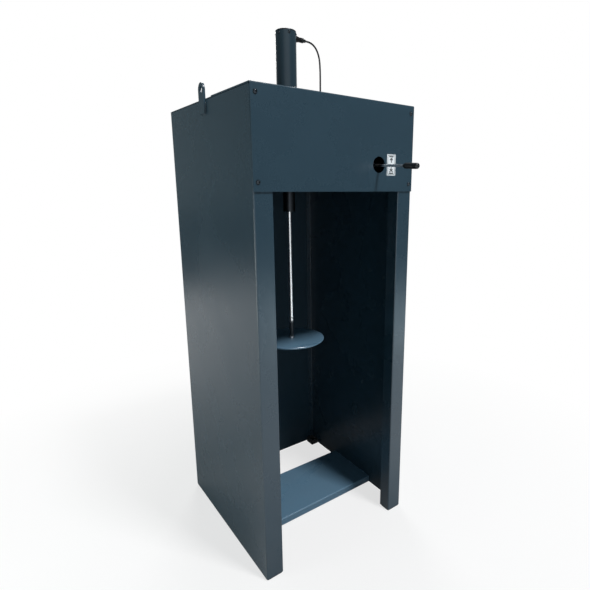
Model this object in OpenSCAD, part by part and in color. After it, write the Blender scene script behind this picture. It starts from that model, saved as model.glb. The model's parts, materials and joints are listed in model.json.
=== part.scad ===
// Pneumatic waste compactor. A floor-standing cabinet of folded sheet steel holds a long air cylinder
// upright; its rod pushes a round plate down into a bin that stands on a low platform.
// A hand-lever valve behind the front cover sends the plate up or down.
// Millimetres. Origin on the floor, on the press axis. Front is -Y, up is +Z.

/* [Cabinet] */
// Width over the side panels
cab_w = 790; // [720:5:880]
// Depth from the front jambs to the back panel
cab_d = 820; // [760:5:900]
// Height of the roof line over the floor
cab_h = 2000; // [1900:10:2100]
// Sheet thickness of the side panels
wall_t = 2.5; // [2:0.5:3]
// Sheet thickness of the back panel
back_t = 2; // [1.5:0.5:3]
// Sheet thickness of the roof
roof_t = 2.5; // [1.5:0.5:3]
// Outside radius of the sheet bends
bend_r = 5; // [4:0.5:7]
// Width of each front jamb
jamb_w = 80; // [65:5:100]
// Depth of the flange that turns back from a jamb's inner edge
return_d = 62; // [45:1:75]
// Width of the flanges at the panels' rear and top edges
flange_w = 30; // [24:1:36]
// Gap between the panels and the floor
floor_gap = 5; // [3:0.5:8]
// Height of the moulded feet
foot_h = 30; // [20:1:40]

/* [Front cover] */
// Sheet thickness of the front cover
cover_t = 3; // [2:0.5:4]
// Height of the front cover
cover_h = 365; // [340:5:400]
// Depth of the cover's top, which laps back over the roof
cover_lap = 330; // [280:5:340]
// Distance of the cover screws from the cover's sides
cover_screw_side = 19; // [14:1:20]
// Distance of the cover screws from the cover's top and bottom
cover_screw_edge = 33; // [26:1:40]
// Diameter of the lever hole
lever_hole_d = 68; // [60:1:76]
// Lever's distance to the right of the press axis
lever_x = 195; // [180:1:210]
// Lever's height over the cover's bottom edge
lever_rise = 111; // [106:1:120]

/* [Platform] */
// Height of the bin platform
platform_h = 40; // [36:1:60]
// Depth of the bin platform
platform_d = 324; // [280:2:360]
// Sheet thickness of the bin platform
platform_t = 3; // [2:0.5:4]
// Width of the stiffening channel's web
channel_w = 80; // [60:2:100]
// Sheet thickness of the stiffening channel
channel_t = 3; // [2:0.5:4]
// Diameter of the pads under the channel
pad_d = 60; // [40:2:70]

/* [Lifting lugs] */
// Width of a lifting lug
lug_w = 55; // [50:1:65]
// Thickness of a lifting lug
lug_t = 8; // [6:1:10]
// Length of a lifting lug
lug_len = 120; // [100:5:150]
// Height of a lug's top over the roof line
lug_rise = 60; // [52:1:70]
// Diameter of a lug's eye
eye_d = 26; // [16:1:28]

/* [Head frame] */
// Sheet thickness of the tray that closes the press bay's top
tray_t = 3; // [2:0.5:4]
// Height of the tray's flanges
tray_flange = 30; // [20:1:34]
// Height of the tray's top over the cover's bottom edge
tray_rise = 5; // [4:1:14]
// Width of a cross beam
beam_w = 44; // [36:2:50]
// Height of a cross beam
beam_h = 45; // [36:1:60]
// Wall of a cross beam
beam_t = 4; // [3:0.5:6]
// Thickness of the cylinder's mount plate
mount_t = 12; // [8:1:16]
// Width of the mount plate
mount_w = 220; // [200:5:240]

/* [Cylinder] */
// Stroke of the press
stroke = 540; // [450:10:560]
// Bore of the cylinder
bore_d = 80; // [70:1:84]
// Wall of the cylinder's barrel
barrel_wall = 6; // [5:0.5:8]
// Side of the front head's square flange
head_side = 120; // [116:2:130]
// Thickness of the front head's flange
head_t = 24; // [20:1:30]
// Diameter of the front head's nose
nose_d = 57; // [50:1:64]
// Length of nose below the tray's top
nose_drop = 101; // [85:1:110]
// Length of the front head's spigot in the barrel
front_spigot = 20; // [18:1:26]
// Length of the rear head's spigot in the barrel
rear_spigot = 40; // [38:1:50]
// Thickness of the rear head's cap
cap_t = 6; // [5:1:14]
// Thickness of the piston
piston_t = 33; // [30:1:40]
// Thickness of an end bumper
bumper_t = 4; // [3:1:12]
// Screws round each end of the barrel
barrel_screws_n = 6; // [4:1:8]

/* [Press] */
// Diameter of the piston rod
rod_d = 20; // [18:1:24]
// Rod left showing when the plate is right up
rod_show = 92; // [60:1:120]
// Diameter of the press plate
plate_d = 325; // [300:5:400]
// Thickness of the press plate
plate_t = 8; // [6:1:12]

/* [Hand valve] */
// Diameter of the lever
lever_d = 11; // [8:0.5:12]
// Length of lever that stands out of the cover
lever_out = 226; // [200:2:240]
// Angle by which the lever slopes down at rest
lever_slope = 2.5; // [0:0.5:4]
// Length of the grip
grip_len = 81; // [60:1:95]
// Diameter of the grip
grip_d = 24; // [18:1:26]
// Distance of the lever's pivot behind the cover's face
pivot_back = 62; // [56:1:66]
// Width of the valve block
valve_w = 36; // [34:1:42]
// Depth of the valve block
valve_d = 44; // [40:1:50]
// Length of the valve block
valve_len = 110; // [106:1:120]
// Distance between two ports of the valve
port_pitch = 18; // [17.5:0.5:20]

/* [Air] */
// Outside diameter of the air hoses
hose_d = 8; // [6:1:8]
// Depth of the air inlet below the roof line
inlet_drop = 150; // [120:5:200]

/* [Hidden] */
$fn = 48;

// Colours
anthracite = "#36454f";
bare_steel = "#b9bcbd";
chrome_steel = "#dfe3e6";
zinc_steel = "#9aa3aa";
black_oxide = "#1d2124";
rubber_black = "#15171a";
bronze = "#a9803f";
alloy = "#a7adb2";
brass_yellow = "#b9a35a";
seal_green = "#2f5c48";

// Clearances
fit = 0.05;          // a round piece in its seat, on the radius
loose = 0.25;        // a screw in a plain hole, on the radius
slack = 0.3;         // soft pieces and mechanism parts beside each other
bend_steps = 6;      // flats round a bend

// Cabinet levels and faces
half_w = cab_w / 2;
inner_x = half_w - wall_t;
jamb_y = -cab_d / 2;
rear_y = cab_d / 2 - back_t;
cover_nut_t = 1;
cover_face_y = jamb_y - cover_nut_t - cover_t;
cover_z = cab_h - cover_h;
roof_top = cab_h - cover_t;
roof_under = roof_top - roof_t;
tray_top = cover_z + tray_rise;
tray_under = tray_top - tray_t;
return_top = tray_under - 3;
fold_z = roof_under - bend_r;

// Feet
foot_wall = 8;
rear_foot_w = 44;
rear_foot_d = 60;

// Fasteners
cover_screw = 8;
cover_nut_d = 11;
panel_screw = 5;
back_screws_n = 6;
roof_screws_n = 3;
frame_bolt = 10;
barrel_screw = 6;

// Platform
platform_y = -6;
platform_r = 6;
pads_n = 3;
pad_pitch = 260;

// Cylinder
mount_top = tray_top + mount_t;
head_top = mount_top + head_t;
barrel_d = bore_d + 2 * barrel_wall;
end_gap = 0.5;
chamber_low = head_top + front_spigot;
chamber_high = chamber_low + stroke + piston_t + 2 * bumper_t + 2 * end_gap;
barrel_top = chamber_high + rear_spigot;
nose_z = tray_top - nose_drop;
wiper_len = 7;
rod_seal_len = 9;
bush_len = 40;
beam_y = head_side / 2 + 4 + beam_w / 2;
mount_d = 2 * beam_y + beam_w;
head_bolt_at = head_side / 2 - 15;
beam_bolt_x = mount_w / 2 - 30;
air_thread = 10;
cap_port_z = barrel_top - 17;
rod_port_z = mount_top + head_t / 2;
rod_port_x = 25;
passage_d = 8;
barrel_screw_turn = 18;
low_screw_z = head_top + 7;
high_screw_z = barrel_top - 9;

// Press
piston_z = chamber_low + bumper_t + end_gap;
washer_t = 2.5;
washer_d = 28;
plate_top = nose_z - rod_show - stroke;
rod_foot = plate_top + washer_t;
rod_thread = 16;
plate_bolt = 12;
plate_bolt_len = 34;
nut_af = 24;
nut_h = 13;
nut_pocket = nut_h + 1.5;

// Hand valve, from the lever's pivot
lever_z = cover_z + lever_rise;
pivot_y = cover_face_y + pivot_back;
arm = 18;
hub_d = 14;
hub_w = 16;
pin_d = 6;
slot_w = hub_w + 2;
prong_d = 7.4;
prong_in = 3.5;
prong_out = 7;
neck_gap = prong_d + 2 * slack;
spool_d = 10;
collar_d = 15;
collar_t = 5;
spool_y = pivot_y + arm;
block_z = lever_z + 26;
block_top = block_z + valve_len;
valve_rear = spool_y + valve_d / 2;
valve_side = lever_x + valve_w / 2;
clevis_front = pivot_y - hub_d / 2 - 3;
clevis_back = valve_rear - 6;
cap_wall = 3;
cap_room = 31;
tail_d = 5;
tail_collar_t = 3;
spring_d = 15;
spring_wire = 1.4;
spring_turns = 4;
bracket_t = 3;
bracket_foot = 40;
fitting_len = 20;
port_z = [for (i = [0:4]) block_z + valve_len / 2 + (i - 2) * port_pitch];

// Air
cap_fitting_len = 56;
cap_hose_x = barrel_d / 2 - 2 + cap_fitting_len;
roof_hose_x = cap_hose_x + 85;
inlet_z = cab_h - inlet_drop;
inlet_d = 20;
inlet_nut_t = 7;
inlet_tail = 24;
inlet_tip_z = 22;

// A point between a and b, by its share of the way along X, Y and Z
function part_way(a, b, f) = [for (i = [0:2]) a[i] + (b[i] - a[i]) * f[i]];
function port_mouth(i) = [lever_x, valve_rear + fitting_len, port_z[i]];

// Centre line of the cap-side hose: over and down from the cylinder's fitting to the roof, then
// back to the valve
roof_entry = [roof_hose_x, 0, roof_under];
cap_hose = concat(
    [for (p = [[0, 0], [12, 0], [30, -2], [48, -10], [63, -24], [74, -44], [81, -69], [84, -102],
        [85, -142]]) [cap_hose_x + p[0], 0, cap_port_z + p[1]]],
    [for (f = [1 / 3, 2 / 3, 1])
        part_way([roof_hose_x, 0, cap_port_z - 142], roof_entry, [0, 0, f])],
    [for (f = [[0.1, 0.015, 0.27], [0.3, 0.08, 0.53], [0.5, 0.22, 0.75], [0.7, 0.41, 0.91],
        [0.9, 0.63, 0.985], [1, 0.84, 1], [1, 1, 1]]) part_way(roof_entry, port_mouth(3), f)]
);

// Centre line of the rod-side hose, from the front head to the valve
rod_fitting_end = [head_side / 2 + fitting_len, 0, rod_port_z];
rod_hose = [for (f = [[0, 0, 0], [0.19, 0, 0], [0.43, 0.02, 0.03], [0.68, 0.09, 0.13],
    [0.84, 0.21, 0.32], [0.94, 0.38, 0.57], [0.99, 0.58, 0.83], [1, 0.8, 0.97], [1, 1, 1]])
    part_way(rod_fitting_end, port_mouth(1), f)];

// Centre line of the supply hose, from the inlet to the valve; it bows a little to the right
inlet_end = [lever_x, rear_y - inlet_nut_t - inlet_tail - 2, inlet_z];
supply_hose = [for (f = [[0, 0, 0], [0, 0.06, 0], [2, 0.19, 0.17], [7, 0.37, 0.7], [10, 0.55, 1.09],
    [8, 0.73, 1.26], [3, 0.87, 1.09], [0, 0.94, 1], [0, 1, 1]])
    part_way(inlet_end, port_mouth(2), f) + [f[0], 0, 0]];

// ---------- folded sheet ----------

function unit(a, b) = (b - a) / norm(b - a);
function left_of(v) = [-v[1], v[0]];
function turned(v, a) = [v[0] * cos(a) - v[1] * sin(a), v[0] * sin(a) + v[1] * cos(a)];

// Angle turned at corner i, positive to the left
function turn_at(p, i) =
    let (u = unit(p[i - 1], p[i]), v = unit(p[i], p[i + 1]))
    atan2(u[0] * v[1] - u[1] * v[0], u[0] * v[0] + u[1] * v[1]);

// Points round the bend at corner i, at depth o into a sheet of thickness t
function bend(p, i, t, r, o) =
    let (
        u = unit(p[i - 1], p[i]),
        a = turn_at(p, i),
        side = sign(a),
        face_r = side > 0 ? r : r - t,
        start = p[i] - u * face_r * tan(abs(a) / 2),
        centre = start + side * face_r * left_of(u)
    )
    [for (k = [0:bend_steps])
        centre - side * (face_r - side * o) * turned(left_of(u), a * k / bend_steps)];

// One face of a folded sheet: the corner line p, moved o to its left
function sheet_face(p, t, r, o) =
    let (n = len(p) - 1)
    concat(
        [p[0] + o * left_of(unit(p[0], p[1]))],
        [for (i = [1:n - 1]) each bend(p, i, t, r, o)],
        [p[n] + o * left_of(unit(p[n - 1], p[n]))]
    );

// Section of a folded sheet whose outside corners are p and whose metal lies on their left
module folded(p, t, r = bend_r) {
    back = sheet_face(p, t, r, t);
    polygon(concat(sheet_face(p, t, r, 0), [for (i = [len(back) - 1:-1:0]) back[i]]));
}

// Extrude a (Y, Z) section along X, centred
module along_x(len) translate([-len / 2, 0, 0]) rotate([90, 0, 90]) linear_extrude(len) children();

// Extrude an (X, Z) section along Y, from y0 to y1
module along_y(y0, y1) translate([0, y1, 0]) rotate([90, 0, 0]) linear_extrude(y1 - y0) children();

// ---------- turned and bought-in pieces ----------

// Rod along +Y, +X or Z
module rod_y(d, len) rotate([-90, 0, 0]) cylinder(d = d, h = len);
module rod_x(d, len) rotate([0, 90, 0]) cylinder(d = d, h = len);

module ring(outer, inner, h) {
    difference() {
        cylinder(d = outer, h = h);
        translate([0, 0, -1]) cylinder(d = inner, h = h + 2);
    }
}

// Square plate with true round corners
module round_square(side, r) {
    square([side, side - 2 * r], center = true);
    square([side - 2 * r, side], center = true);
    for (x = [-1, 1], y = [-1, 1])
        translate([x * (side / 2 - r), y * (side / 2 - r)]) circle(r = r);
}

// Hexagon by its width across flats
module hexagon(af, h) cylinder(d = af / cos(30), h = h, $fn = 6);

// Domed socket screw with a flange under its head, head up, shank down from z = 0
module domed_screw(d, len) {
    dome_h = 0.55 * d;
    dome_d = 1.75 * d;
    sphere_r = (dome_d * dome_d / 4 + dome_h * dome_h) / (2 * dome_h);
    difference() {
        union() {
            cylinder(d = 2.1 * d, h = 0.15 * d);
            intersection() {
                translate([0, 0, 0.12 * d + dome_h - sphere_r]) sphere(r = sphere_r);
                cylinder(d = dome_d, h = 2 * dome_h);
            }
        }
        translate([0, 0, 0.3 * d]) hexagon(0.62 * d, d);
    }
    translate([0, 0, -len]) cylinder(d = d, h = len + 0.1);
}

// Hexagon bolt, head up, shank down from z = 0
module hex_bolt(d, len) {
    intersection() {
        hexagon(1.7 * d, 0.64 * d);
        cylinder(r1 = 1.15 * d, r2 = 0.88 * d, h = 0.64 * d);
    }
    translate([0, 0, -len]) cylinder(d = d, h = len + 0.1);
}

// Push-in hose fitting along +Z, with its thread below z = 0
module push_in_fitting() {
    difference() {
        union() {
            translate([0, 0, -8]) cylinder(d = air_thread, h = 8.1);
            hexagon(14, 8);
            translate([0, 0, 7.9]) cylinder(d = 13, h = 8.1);
            translate([0, 0, 15.9]) cylinder(d1 = 12, d2 = 10.5, h = fitting_len - 15.9);
        }
        translate([0, 0, -9]) cylinder(d = 5, h = 15);
        translate([0, 0, 6]) cylinder(d = hose_d, h = fitting_len);
    }
}

// ---------- round sweeps ----------

function cross3(a, b) =
    [a[1] * b[2] - a[2] * b[1], a[2] * b[0] - a[0] * b[2], a[0] * b[1] - a[1] * b[0]];
function catmull(a, b, c, d, t) =
    0.5 * (2 * b + (c - a) * t + (2 * a - 5 * b + 4 * c - d) * t * t
        + (3 * b - a - 3 * c + d) * t * t * t);

// Smooth line through the points, with n steps between two of them
function smooth(p, n) =
    let (m = len(p) - 1)
    concat(
        [for (i = [0:m - 1], k = [0:n - 1])
            catmull(p[max(i - 1, 0)], p[i], p[i + 1], p[min(i + 2, m)], k / n)],
        [p[m]]
    );

// Round tube of diameter d along the line p; side is a direction that the line never takes
module swept(p, d, side, n = 8) {
    m = len(p) - 1;
    rings = [for (i = [0:m])
        let (
            dir = unit(p[max(i - 1, 0)], p[min(i + 1, m)]),
            u = unit([0, 0, 0], cross3(dir, side)),
            v = cross3(dir, u)
        )
        each [for (k = [0:n - 1]) p[i] + d / 2 * (cos(360 * k / n) * u + sin(360 * k / n) * v)]];
    walls = [for (i = [0:m - 1], k = [0:n - 1])
        each let (a = i * n + k, b = i * n + (k + 1) % n) [[a, b, b + n], [a, b + n, a + n]]];
    polyhedron(rings, concat(walls, [[for (k = [n - 1:-1:0]) k]], [[for (k = [0:n - 1]) m * n + k]]));
}

// ---------- cabinet ----------

// Right side panel: wall, front jamb, return flange, rear flange and top flange in one sheet
module side_panel() {
    jamb_x = half_w - jamb_w;
    back_path = [[half_w, jamb_y], [half_w, rear_y], [half_w - flange_w, rear_y]];
    difference() {
        union() {
            translate([0, 0, floor_gap]) linear_extrude(return_top - floor_gap)
                folded(concat([[jamb_x, jamb_y + return_d], [jamb_x, jamb_y]], back_path), wall_t);
            translate([0, 0, return_top - 0.1]) linear_extrude(fold_z - return_top + 0.1)
                folded(concat([[jamb_x + bend_r, jamb_y]], back_path), wall_t);
            along_y(jamb_y + bend_r + 1, rear_y - bend_r - 1)
                folded([[half_w, fold_z - 1], [half_w, roof_under], [half_w - flange_w, roof_under]],
                    wall_t);
            translate([jamb_x + bend_r, jamb_y, fold_z - 0.1])
                cube([jamb_w - 2 * bend_r - 1, wall_t, bend_r]);
            translate([half_w - flange_w, rear_y - wall_t, fold_z - 0.1])
                cube([flange_w - bend_r - 1, wall_t, bend_r]);
        }
        for (z = cover_screw_z()) translate([half_w - cover_screw_side, jamb_y - 1, z])
            rod_y(cover_nut_d + 2 * fit, wall_t + 2);
        for (z = back_screw_z()) translate([half_w - cover_screw_side, rear_y - wall_t - 1, z])
            rod_y(panel_screw + 2 * fit, wall_t + 2);
        for (y = roof_screw_y()) translate([half_w - flange_w / 2, y, roof_under - wall_t - 1])
            cylinder(d = panel_screw + 2 * fit, h = wall_t + 2);
    }
}

function cover_screw_z() = [cover_z + cover_screw_edge, cab_h - cover_screw_edge];
function back_screw_z() =
    [for (i = [0:back_screws_n - 1])
        floor_gap + 60 + i * (roof_under - floor_gap - 120) / (back_screws_n - 1)];
function roof_screw_y() =
    let (first = jamb_y + cover_lap + 30, last = rear_y - 40)
    [for (i = [0:roof_screws_n - 1]) first + i * (last - first) / (roof_screws_n - 1)];

module right_side_panel() color(anthracite) side_panel();
module left_side_panel() color(anthracite) mirror([1, 0, 0]) side_panel();

module back_panel() color(anthracite) {
    difference() {
        translate([1 - half_w, rear_y, floor_gap])
            cube([cab_w - 2, back_t, roof_under - floor_gap - 0.5]);
        for (s = [-1, 1], z = back_screw_z())
            translate([s * (half_w - cover_screw_side), rear_y - 1, z])
                rod_y(panel_screw + 2 * loose, back_t + 2);
        translate([lever_x, rear_y - 1, inlet_z]) rod_y(inlet_d + 2 * loose, back_t + 2);
    }
}

module roof_panel() color(anthracite) {
    difference() {
        translate([1 - half_w, jamb_y + bend_r, roof_under])
            cube([cab_w - 2, cab_d - bend_r, roof_t]);
        translate([0, 0, roof_under - 1]) cylinder(d = barrel_d + 6, h = roof_t + 2, $fn = 96);
        translate([roof_hose_x, 0, roof_under - 1]) cylinder(d = 2 * hose_d, h = roof_t + 2);
        for (s = [-1, 1], y = roof_screw_y())
            translate([s * (half_w - flange_w / 2), y, roof_under - 1])
                cylinder(d = panel_screw + 2 * loose, h = roof_t + 2);
    }
}

// Folded front cover: its top laps back over the roof
module front_cover() color(anthracite) {
    section = [[jamb_y + cover_lap, cab_h], [cover_face_y, cab_h], [cover_face_y, cover_z]];
    difference() {
        along_x(cab_w) folded(section, cover_t);
        translate([lever_x, cover_face_y - 1, lever_z]) rod_y(lever_hole_d, cover_t + 2, $fn = 96);
        for (s = [-1, 1], z = cover_screw_z())
            translate([s * (half_w - cover_screw_side), cover_face_y - 1, z])
                rod_y(cover_screw + 2 * loose, cover_t + 2);
    }
}

// Tray with four flanges that closes the top of the press bay and carries the cylinder
module compartment_floor() color(anthracite) {
    notch = 25;
    y0 = jamb_y + wall_t;
    y1 = rear_y - wall_t;
    z1 = tray_under + tray_flange;
    difference() {
        union() {
            along_y(y0 + notch, y1 - notch)
                folded([[-inner_x, z1], [-inner_x, tray_under], [inner_x, tray_under], [inner_x, z1]],
                    tray_t);
            along_x(2 * (inner_x - notch))
                folded([[y0, z1], [y0, tray_under], [y1, tray_under], [y1, z1]], tray_t);
        }
        translate([0, 0, tray_under - 1]) cylinder(d = nose_d + 2, h = tray_t + 2, $fn = 96);
        beam_bolt_places(tray_under - 1) cylinder(d = frame_bolt + 2 * fit, h = tray_t + 2);
        valve_foot_places(tray_under - 1) cylinder(d = panel_screw + 2 * fit, h = tray_t + 2);
    }
}

// Low folded platform that the bin stands on
module press_platform() color(anthracite) {
    y0 = platform_y - platform_d / 2;
    y1 = platform_y + platform_d / 2;
    along_x(2 * inner_x)
        folded([[y1, floor_gap], [y1, platform_h], [y0, platform_h], [y0, floor_gap]],
            platform_t, platform_r);
}

// Hat channel along the platform's underside, under the press axis
module platform_channel() color(anthracite) {
    z1 = platform_h - platform_t;
    lip = 25;
    w = channel_w / 2;
    along_x(2 * inner_x - 40)
        folded([[-w - lip, z1 - channel_t], [-w, z1 - channel_t], [-w, floor_gap], [w, floor_gap],
            [w, z1 - channel_t], [w + lip, z1 - channel_t]], channel_t);
}

// Rubber pads between the channel and the floor
module platform_pads() color(rubber_black) {
    for (i = [0:pads_n - 1]) translate([(i - (pads_n - 1) / 2) * pad_pitch, 0, 0])
        cylinder(d = pad_d, h = floor_gap, $fn = 64);
}

// Moulded feet that plug the bottoms of the folded corners
module front_foot() {
    w = jamb_w - 2 * wall_t;
    d = return_d - 12;
    translate([inner_x - w, jamb_y + wall_t, 0]) difference() {
        linear_extrude(foot_h) polygon([[bend_r, 0], [w - bend_r, 0], [w, bend_r], [w, d], [0, d],
            [0, bend_r]]);
        foot_pocket(w, d);
    }
}
module rear_foot() {
    w = rear_foot_w;
    d = rear_foot_d;
    translate([inner_x - w, rear_y - wall_t - d, 0]) difference() {
        linear_extrude(foot_h) polygon([[0, 0], [w, 0], [w, d - bend_r], [w - bend_r, d], [0, d]]);
        foot_pocket(w, d);
    }
}
module foot_pocket(w, d) {
    translate([foot_wall, foot_wall, foot_wall])
        cube([w - 2 * foot_wall, d - 2 * foot_wall, foot_h]);
}
module front_right_foot() color(rubber_black) front_foot();
module front_left_foot() color(rubber_black) mirror([1, 0, 0]) front_foot();
module rear_right_foot() color(rubber_black) rear_foot();
module rear_left_foot() color(rubber_black) mirror([1, 0, 0]) rear_foot();

// Flat bar with a round end and an eye, welded to the side panel
module lifting_lug() {
    top = cab_h + lug_rise;
    eye_z = top - lug_w / 2;
    translate([half_w, 0, 0]) rotate([90, 0, 90]) linear_extrude(lug_t) difference() {
        union() {
            translate([-lug_w / 2, top - lug_len]) square([lug_w, eye_z - top + lug_len]);
            translate([0, eye_z]) circle(d = lug_w, $fn = 96);
        }
        translate([0, eye_z]) circle(d = eye_d, $fn = 64);
    }
}
module right_lifting_lug() color(anthracite) lifting_lug();
module left_lifting_lug() color(anthracite) mirror([1, 0, 0]) lifting_lug();

// ---------- head frame ----------

module beam_bolt_places(z) {
    for (x = [-1, 1], y = [-1, 1]) translate([x * beam_bolt_x, y * beam_y, z]) children();
}
module head_bolt_places(z) {
    for (x = [-1, 1], y = [-1, 1]) translate([x * head_bolt_at, y * head_bolt_at, z]) children();
}

module cross_beam(y) {
    z = mount_top;
    w = beam_w / 2;
    difference() {
        along_x(2 * (inner_x - tray_t))
            folded([[y - w, z + beam_h], [y - w, z], [y + w, z], [y + w, z + beam_h]],
                beam_t, beam_t + 3);
        beam_bolt_places(z - 1) cylinder(d = frame_bolt + 2 * loose, h = beam_t + 2);
    }
}
module front_cross_beam() color(anthracite) cross_beam(-beam_y);
module rear_cross_beam() color(anthracite) cross_beam(beam_y);

module cylinder_mount_plate() color(zinc_steel) {
    difference() {
        translate([-mount_w / 2, -mount_d / 2, tray_top]) cube([mount_w, mount_d, mount_t]);
        translate([0, 0, tray_top - 1]) cylinder(d = nose_d + 1, h = mount_t + 2, $fn = 96);
        head_bolt_places(tray_top - 1) cylinder(d = frame_bolt + 2 * fit, h = mount_t + 2);
        beam_bolt_places(tray_top - 1) cylinder(d = frame_bolt + 2 * fit, h = mount_t + 2);
    }
}

module head_bolts() color(black_oxide)
    head_bolt_places(head_top) hex_bolt(frame_bolt, head_t + mount_t);
module beam_bolts() color(zinc_steel)
    beam_bolt_places(mount_top + beam_t) hex_bolt(frame_bolt, beam_t + mount_t + tray_t);

// ---------- panel fasteners ----------

module cover_screws() color(black_oxide) {
    for (s = [-1, 1], z = cover_screw_z())
        translate([s * (half_w - cover_screw_side), cover_face_y, z])
            rotate([90, 0, 0]) domed_screw(cover_screw, 16);
}

// Flanged threaded inserts in the jambs
module cover_rivet_nuts() color(zinc_steel) {
    for (s = [-1, 1], z = cover_screw_z())
        translate([s * (half_w - cover_screw_side), jamb_y, z]) rotate([-90, 0, 0]) difference() {
            union() {
                translate([0, 0, -cover_nut_t]) cylinder(d = cover_nut_d + 4, h = cover_nut_t);
                cylinder(d = cover_nut_d, h = 16);
            }
            translate([0, 0, -2]) cylinder(d = cover_screw + 2 * fit, h = 20);
        }
}

module back_panel_screws() color(black_oxide) {
    for (s = [-1, 1], z = back_screw_z())
        translate([s * (half_w - cover_screw_side), rear_y + back_t, z])
            rotate([-90, 0, 0]) domed_screw(panel_screw, 10);
}

module roof_screws() color(black_oxide) {
    for (s = [-1, 1], y = roof_screw_y())
        translate([s * (half_w - flange_w / 2), y, roof_top]) domed_screw(panel_screw, 10);
}

// ---------- cylinder ----------

// Screws round one end of the barrel, pointing at its axis
module barrel_screw_places(z) {
    for (i = [0:barrel_screws_n - 1]) rotate([0, 0, barrel_screw_turn + i * 360 / barrel_screws_n])
        translate([barrel_d / 2, 0, z]) rotate([0, 90, 0]) children();
}

module cylinder_barrel() color(anthracite) {
    difference() {
        translate([0, 0, head_top]) cylinder(d = barrel_d, h = barrel_top - head_top, $fn = 128);
        translate([0, 0, head_top - 1])
            cylinder(d = bore_d, h = barrel_top - head_top + 2, $fn = 128);
        for (z = [low_screw_z, high_screw_z]) barrel_screw_places(z) {
            translate([0, 0, -barrel_wall - 5]) cylinder(d = barrel_screw + 2 * loose, h = 20);
            translate([0, 0, -1]) cylinder(d = 2.1 * barrel_screw + 1, h = 5);
        }
        translate([0, 0, cap_port_z]) rod_x(air_thread + 4, barrel_d);
    }
}

module barrel_screws() color(black_oxide) {
    for (z = [low_screw_z, high_screw_z])
        barrel_screw_places(z) translate([0, 0, -1]) domed_screw(barrel_screw, 14);
}

// Front head: square flange, long nose with the rod's bush and seals, and the rod side's air port
module front_head() color(black_oxide) {
    difference() {
        union() {
            translate([0, 0, mount_top]) linear_extrude(head_t) round_square(head_side, 8);
            translate([0, 0, nose_z]) cylinder(d = nose_d, h = mount_top - nose_z + 1, $fn = 96);
            translate([0, 0, head_top - 1])
                cylinder(d = bore_d - 2 * fit, h = front_spigot + 1, $fn = 128);
        }
        translate([0, 0, nose_z - 1]) {
            cylinder(d = rod_d + 2, h = chamber_low - nose_z + 2);
            cylinder(d = rod_d + 6, h = wiper_len + rod_seal_len + bush_len + 1);
            cylinder(d = rod_d + 9, h = wiper_len + rod_seal_len + 1);
            cylinder(d = rod_d + 12, h = wiper_len + 1);
        }
        head_bolt_places(mount_top - 1) cylinder(d = frame_bolt + 2 * loose, h = head_t + 2);
        translate([rod_port_x, 0, rod_port_z]) rod_x(air_thread, head_side);
        translate([rod_port_x, 0, rod_port_z]) cylinder(d = passage_d, h = head_t + front_spigot);
        barrel_screw_places(low_screw_z)
            translate([0, 0, -16]) cylinder(d = barrel_screw + 2 * fit, h = 30);
    }
}

// Rear head: cap with a rounded rim, spigot, and the air port of the side that pushes down
module rear_head() color(black_oxide) {
    rim = 4;
    difference() {
        union() {
            rotate_extrude($fn = 128) polygon(concat(
                [[0, barrel_top], [barrel_d / 2, barrel_top]],
                [for (a = [0:15:90]) [barrel_d / 2 - rim + rim * cos(a),
                    barrel_top + cap_t - rim + rim * sin(a)]],
                [[0, barrel_top + cap_t]]));
            translate([0, 0, chamber_high])
                cylinder(d = bore_d - 2 * fit, h = rear_spigot + 1, $fn = 128);
        }
        barrel_screw_places(high_screw_z)
            translate([0, 0, -16]) cylinder(d = barrel_screw + 2 * fit, h = 30);
        translate([0, 0, cap_port_z]) rod_x(air_thread, barrel_d);
        translate([0, 0, chamber_high - 1]) cylinder(d = passage_d, h = cap_port_z - chamber_high + 1);
    }
}

// Rubber rings that the piston meets at each end of its stroke
module end_bumpers() color(rubber_black) {
    for (z = [chamber_low, chamber_high - bumper_t])
        translate([0, 0, z]) ring(bore_d - 4, bore_d - 18, bumper_t, $fn = 96);
}

module rod_wiper() color(seal_green) translate([0, 0, nose_z]) {
    difference() {
        ring(rod_d + 12, rod_d + 0.1, wiper_len);
        translate([0, 0, -0.1]) cylinder(d1 = rod_d + 7, d2 = rod_d + 0.1, h = wiper_len / 2);
    }
}
module rod_seal() color(seal_green)
    translate([0, 0, nose_z + wiper_len]) ring(rod_d + 9, rod_d + 0.1, rod_seal_len);
module rod_bush() color(bronze)
    translate([0, 0, nose_z + wiper_len + rod_seal_len]) ring(rod_d + 6, rod_d + 2 * fit, bush_len);

// Rubber ring with a lip, between the barrel and the roof
module barrel_roof_seal() color(rubber_black) {
    rotate_extrude($fn = 96) polygon([[barrel_d / 2, roof_under - 3], [barrel_d / 2 + 8, roof_under - 3],
        [barrel_d / 2 + 8, roof_under], [barrel_d / 2 + 3, roof_under], [barrel_d / 2 + 3, roof_top],
        [barrel_d / 2 + 9, roof_top], [barrel_d / 2 + 8, roof_top + 3],
        [barrel_d / 2 + 1.5, roof_top + 7], [barrel_d / 2, roof_top + 7]]);
}

// ---------- press ----------

module piston_rod() color(chrome_steel) {
    difference() {
        union() {
            translate([0, 0, rod_foot]) cylinder(d = rod_d, h = piston_z - rod_foot, $fn = 64);
            translate([0, 0, piston_z - 1]) cylinder(d = rod_thread, h = piston_t + 1);
        }
        translate([0, 0, rod_foot - 1]) cylinder(d = plate_bolt + 2 * fit, h = plate_bolt_len + 1);
    }
}

// Grooves for two seals and, between them, a guide ring
function ring_bands() = [[3, 5], [piston_t / 2 - 4, 8], [piston_t - 8, 5]];

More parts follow.
